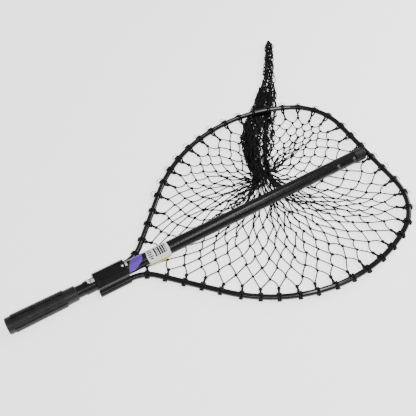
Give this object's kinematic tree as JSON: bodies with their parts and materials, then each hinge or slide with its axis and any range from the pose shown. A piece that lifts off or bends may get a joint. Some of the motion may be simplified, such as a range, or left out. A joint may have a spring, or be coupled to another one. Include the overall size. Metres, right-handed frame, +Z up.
{
  "type": "landing net",
  "caption": "Landing net with a teardrop tube hoop, knotted mesh bag laid out to one side, and a telescopic handle that slides through a yoke with a thumb latch.",
  "frame": {"origin": "on the flat underside of the yoke, below the handle; that face rests on the surface the net lies on", "axes": "+X along the handle from the grip to the hoop tip, +Z up away from the surface, +Y towards the side where the bag is laid out"},
  "size_m": [0.9105, 0.7199, 0.0419],
  "materials": {
    "moulded_black": "moulded, fine satin texture",
    "bush_plastic": "moulded, smooth",
    "black_tube": "drawn tube, gloss black coating",
    "zinc_steel": "zinc plated",
    "nickel_spring": "nickel plated spring strip",
    "black_rivet": "gloss black",
    "cone_plastic": "moulded, smooth",
    "grip_rubber": "matt, serrated panels",
    "twine": "twisted synthetic twine, slight sheen",
    "netting": "knotted diamond netting"
  },
  "bodies": {
    "head": {"yoke": "moulded_black", "guide_bush_front": "bush_plastic", "guide_bush_rear": "bush_plastic", "hoop_tube": "black_tube", "hoop_screws": "zinc_steel", "lock_leaf": "nickel_spring", "leaf_rivet": "nickel_spring", "rim_lacing": "twine", "net_funnel": "netting", "net_tail": "netting", "tail_tie": "twine"},
    "lock": {"lock_tab": "nickel_spring", "lock_pin": "zinc_steel"},
    "outer": {"outer_tube": "black_tube", "end_cap": "moulded_black", "cap_rivet": "black_rivet", "stop_plug": "bush_plastic", "stop_rivet": "black_rivet"},
    "expander": {"expander_sleeve": "bush_plastic"},
    "inner": {"inner_tube": "black_tube", "stud_plug": "bush_plastic", "lock_stud": "zinc_steel", "stud_nut": "zinc_steel", "grip": "grip_rubber", "grip_plug": "moulded_black"},
    "cone": {"cone_nut": "cone_plastic"}
  },
  "joints": [
    {"name": "lock_lift", "type": "hinge", "parent": "head", "child": "lock", "pos_m": [-0.0316, 0, 0.0357], "axis": [0, 1, 0], "range_deg": [-8, 10], "stiffness_Nm_per_rad": 0.5},
    {"name": "outer_slide", "type": "slide", "parent": "head", "child": "outer", "axis": [-1, 0, 0], "range_m": [0, 0.574]},
    {"name": "inner_slide", "type": "slide", "parent": "outer", "child": "expander", "axis": [-1, 0, 0], "range_m": [0, 0.45]},
    {"name": "inner_twist", "type": "hinge", "parent": "expander", "child": "inner", "pos_m": [0, 0, 0.02], "axis": [1, 0, 0], "range_deg": [0, 720]},
    {"name": "cone_draw", "type": "slide", "parent": "expander", "child": "cone", "axis": [-1, 0, 0], "range_m": [0, 0.0025]}
  ],
  "couplings": [
    {"joint": "cone_draw", "follows": "inner_twist", "m_per_rad": 0.00019894}
  ]
}
